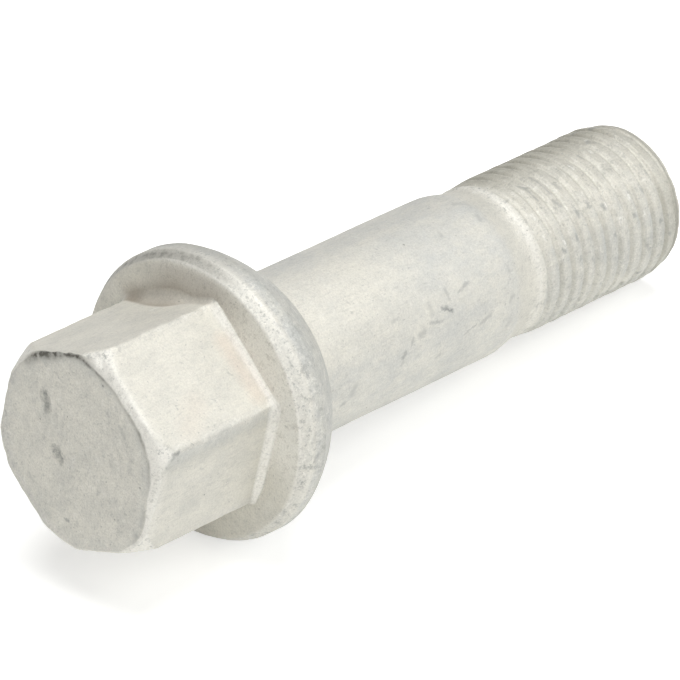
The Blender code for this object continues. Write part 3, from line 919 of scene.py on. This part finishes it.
def zinc_flake_coated_steel():
    """Steel dipped in zinc flake coating and cured: matte, cream where the coat is thick, blue-grey where it
    is thinner and as painted cool shade, with painted highlights, a fine grain of flakes, small pits, rubbed
    scuffs, and brown painted shade in the folds."""
    material = bpy.data.materials.new("zinc_flake_coated_steel")
    material.use_nodes = True
    tree = material.node_tree
    shader = tree.nodes["Principled BSDF"]
    shader.inputs["Metallic"].default_value = 0.2

    place = bolt_space(tree)
    pushed, torn = shaken(tree, place, (MARK_SHAKE, KNOCK_SHAKE))
    coat = add(tree, "ShaderNodeAttribute", {}, attribute_name="coat")
    soil_and_shade = add(tree, "ShaderNodeAttribute", {}, attribute_name="soil_and_shade")
    coat_parts = add(tree, "ShaderNodeSeparateColor", {0: coat.outputs["Color"]})
    soil_and_shade_parts = add(tree, "ShaderNodeSeparateColor", {0: soil_and_shade.outputs["Color"]})
    thin, bright, scuffed = coat_parts.outputs
    groove = coat.outputs["Alpha"]
    grime, dust, shade = soil_and_shade_parts.outputs

    # Patches of a few millimetres, mottling of half a millimetre, specks, and a grain of 0.1 mm, which is
    # coarser than the real flakes so that it shows
    drawn_out = add(tree, "ShaderNodeVectorMath", {0: place, 1: (PATCH_DRAWN_OUT, 1.0, 1.0)},
                    operation="MULTIPLY")
    patches, mottle, specks, grain = (
        add(tree, "ShaderNodeTexNoise", {"Vector": at, "Scale": per_mm, "Detail": detail, "Roughness": rough})
        for at, per_mm, detail, rough in (
            (drawn_out, PATCHES_PER_MM, 5.0, 0.7), (place, MOTTLES_PER_MM, 5.0, 0.72),
            (place, SPECKS_PER_MM, 1.0, 0.6), (place, GRAINS_PER_MM, 2.0, 0.75)))
    lines = rubbed_lines(tree, place)
    pits = small_pits(tree, place)

    # Thinner coat and painted cool shade on the sides turned from the lamps, broken into patches, and dull
    # coat in patches
    patchy = add(tree, "ShaderNodeMapRange", {0: patches, 1: 0.36, 2: 0.66, 3: 0.45, 4: 1.15})
    thinned_and_shaded = add(tree, "ShaderNodeMath", {0: thin, 1: patchy}, operation="MULTIPLY")
    dull = add(tree, "ShaderNodeMapRange", {0: patches, 1: 0.42, 2: 0.66, 3: 0.0, 4: 0.8})

    # Mottling by scuffs, pale and grey, and a pale colour painted as highlights along edges, ridges and
    # crests and as light on the flange's face
    pale = add(tree, "ShaderNodeMapRange", {0: mottle, 1: 0.53, 2: 0.66, 3: 0.0, 4: 0.9})
    pale = add(tree, "ShaderNodeMath", {0: pale, 1: scuffed}, operation="MULTIPLY")
    # The pale share from the coat's look is painted highlight and painted light, broken up by the mottling
    painted_light = add(tree, "ShaderNodeMapRange", {0: mottle, 1: 0.36, 2: 0.5, 3: 0.5, 4: 1.0})
    painted_light = add(tree, "ShaderNodeMath", {0: painted_light, 1: bright}, operation="MULTIPLY")
    pale = add(tree, "ShaderNodeMath", {0: pale, 1: painted_light}, operation="MAXIMUM", use_clamp=True)
    rubbed = add(tree, "ShaderNodeMapRange", {0: mottle, 1: 0.46, 2: 0.33, 3: 0.0, 4: 0.65})
    rubbed = add(tree, "ShaderNodeMath", {0: rubbed, 1: scuffed}, operation="MULTIPLY")
    lined = add(tree, "ShaderNodeMath", {0: lines, 1: 0.14}, operation="MULTIPLY")

    # Specks, more of them where the coat is scuffed, and grime together with painted shade, and stains
    spare = add(tree, "ShaderNodeMath", {0: scuffed, 1: -0.05, 2: 0.70}, operation="MULTIPLY_ADD")
    specked = add(tree, "ShaderNodeMath", {0: specks, 1: spare}, operation="SUBTRACT")
    specked = add(tree, "ShaderNodeMapRange", {0: specked, 1: 0.0, 2: 0.06, 3: 0.0, 4: 0.3})
    ragged = add(tree, "ShaderNodeMapRange", {0: mottle, 1: 0.36, 2: 0.60, 3: 0.2, 4: 1.15})
    dirt_and_shade = add(tree, "ShaderNodeMath", {0: grime, 1: ragged}, operation="MULTIPLY", use_clamp=True)
    groove_shaded = add(tree, "ShaderNodeMath", {0: groove, 1: 0.3}, operation="MULTIPLY", use_clamp=True)
    stains = add(tree, "ShaderNodeMath", {0: strokes(tree, pushed, STAINS), 1: 0.5}, operation="MULTIPLY")
    pitted = add(tree, "ShaderNodeMath", {0: pits, 1: 0.45}, operation="MULTIPLY")

    # The single marks, broken up by the grain
    broken = add(tree, "ShaderNodeMapRange", {0: grain, 1: 0.36, 2: 0.58, 3: 0.45, 4: 1.0})
    knocks = strokes(tree, torn, KNOCKS)
    scuffs, knocked, glints = (
        add(tree, "ShaderNodeMath", {0: marks, 1: broken}, operation="MULTIPLY")
        for marks in (strokes(tree, pushed, SCUFFS), knocks, strokes(tree, pushed, GLINTS)))

    colour = add(tree, "ShaderNodeMix", {0: dull, 6: COAT_CREAM, 7: COAT_DULL}, data_type="RGBA")
    for share, tint in (
            (thinned_and_shaded, COAT_THIN_AND_SHADE), (pale, PALE_COAT_AND_HIGHLIGHT), (rubbed, RUBBED_GREY), (lined, RUBBED_GREY),
            (shade, SHADED_OLIVE), (dust, FOLD_SHADE_BROWN), (stains, STAIN), (groove_shaded, GROOVE_SHADE_GREY),
            (specked, SCUFF_GREY), (dirt_and_shade, GRIME_AND_SHADE), (scuffs, SCUFF_GREY), (knocked, KNOCK_GREY),
            (pitted, PIT), (glints, GLINT)):
        colour = add(tree, "ShaderNodeMix", {0: share, 6: colour, 7: tint}, data_type="RGBA")

    # The flakes' own light and dark grain
    level = add(tree, "ShaderNodeMapRange", {0: grain, 1: 0.25, 2: 0.75, 3: 0.90, 4: 1.09})
    graded = add(tree, "ShaderNodeVectorMath", {0: colour, 1: level}, operation="MULTIPLY")
    tree.links.new(graded.outputs[0], shader.inputs["Base Color"])
    rough = add(tree, "ShaderNodeMapRange", {0: patches, 1: 0.35, 2: 0.7, 3: 0.50, 4: 0.62})
    tree.links.new(rough.outputs[0], shader.inputs["Roughness"])

    # Mottling, grain, knocks, pits and lines in relief
    height = add(tree, "ShaderNodeMath", {0: grain, 1: 0.5}, operation="MULTIPLY")
    for part, depth in ((mottle, 0.9), (knocks, -0.9), (pits, -0.5), (lines, -0.15)):
        height = add(tree, "ShaderNodeMath", {0: part, 1: depth, 2: height}, operation="MULTIPLY_ADD")
    bump = add(tree, "ShaderNodeBump", {"Height": height, "Strength": 1.0, "Distance": BUMP_DEPTH * MM})
    tree.links.new(bump.outputs[0], shader.inputs["Normal"])
    return material


def backdrop_paint():
    """A plain pale floor that the camera sees white, with the bolt's soft shadow kept."""
    material = bpy.data.materials.new("pale_backdrop_paint")
    material.use_nodes = True
    tree = material.node_tree
    shader = tree.nodes["Principled BSDF"]
    output = tree.nodes["Material Output"]
    shader.inputs["Base Color"].default_value = linear(BACKDROP_PAINT)
    shader.inputs["Roughness"].default_value = 0.9
    rays = add(tree, "ShaderNodeLightPath", {})
    seen = add(tree, "ShaderNodeMath", {0: rays.outputs["Is Camera Ray"], 1: rays.outputs["Is Glossy Ray"]},
               operation="MAXIMUM")
    glow = add(tree, "ShaderNodeEmission", {"Color": BACKDROP_GLOW, "Strength": seen})
    both = add(tree, "ShaderNodeAddShader", {0: shader.outputs[0], 1: glow})
    tree.links.new(both.outputs[0], output.inputs["Surface"])
    return material


def floor():
    bm = bmesh.new()
    bmesh.ops.create_grid(bm, x_segments=1, y_segments=1, size=FLOOR_HALF_WIDTH)
    mesh = bpy.data.meshes.new("floor")
    bm.to_mesh(mesh)
    bm.free()
    mesh.materials.append(backdrop_paint())
    item = bpy.data.objects.new("floor", mesh)
    bpy.context.scene.collection.objects.link(item)


def camera():
    data = bpy.data.cameras.new("camera")
    data.lens = LENS
    data.sensor_width = 36.0
    item = bpy.data.objects.new("camera", data)
    level = cos(VIEW_ELEVATION)
    looks = Vector((-sin(VIEW_AZIMUTH) * level, cos(VIEW_AZIMUTH) * level, -sin(VIEW_ELEVATION)))
    item.location = (VIEW_TARGET - looks * VIEW_DISTANCE) * MM
    item.rotation_euler = looks.to_track_quat("-Z", "Y").to_euler()
    bpy.context.scene.collection.objects.link(item)
    bpy.context.scene.camera = item


def lamp(name, toward, size, watts):
    """A white soft box a metre away that stands that way from the bolt and faces it."""
    data = bpy.data.lights.new(name, "AREA")
    data.shape = "DISK"
    data.size = size
    data.energy = watts
    item = bpy.data.objects.new(name, data)
    toward = Vector(toward).normalized()
    item.location = toward
    item.rotation_euler = (-toward).to_track_quat("-Z", "Y").to_euler()
    bpy.context.scene.collection.objects.link(item)


def lights():
    world = bpy.data.worlds.new("studio")
    bpy.context.scene.world = world
    world.use_nodes = True
    tree = world.node_tree
    background = tree.nodes["Background"]
    background.inputs["Color"].default_value = linear(WORLD_WHITE)
    rays = add(tree, "ShaderNodeLightPath", {})
    strength = add(tree, "ShaderNodeMapRange", {0: rays.outputs["Is Camera Ray"], 3: WORLD_LIGHT, 4: 1.0})
    tree.links.new(strength.outputs[0], background.inputs["Strength"])
    lamp("top_box", (0.0, 0.0, 1.0), 0.8, 8.0)
    lamp("right_box", (0.15, -0.7, 0.7), 0.6, 2.6)
    lamp("front_box", (-0.6, -0.56, 0.57), 0.6, 2.0)
    lamp("far_box", (0.85, -0.4, 0.4), 0.6, 1.35)


def build():
    skin = bpy.data.objects.new("bolt", bolt_mesh())
    bpy.context.scene.collection.objects.link(skin)
    skin.data.materials.append(zinc_flake_coated_steel())
    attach(skin, "root")
    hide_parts("wheel_bolt")
    floor()
    camera()
    lights()
    bpy.context.scene.view_settings.view_transform = "Standard"


build()
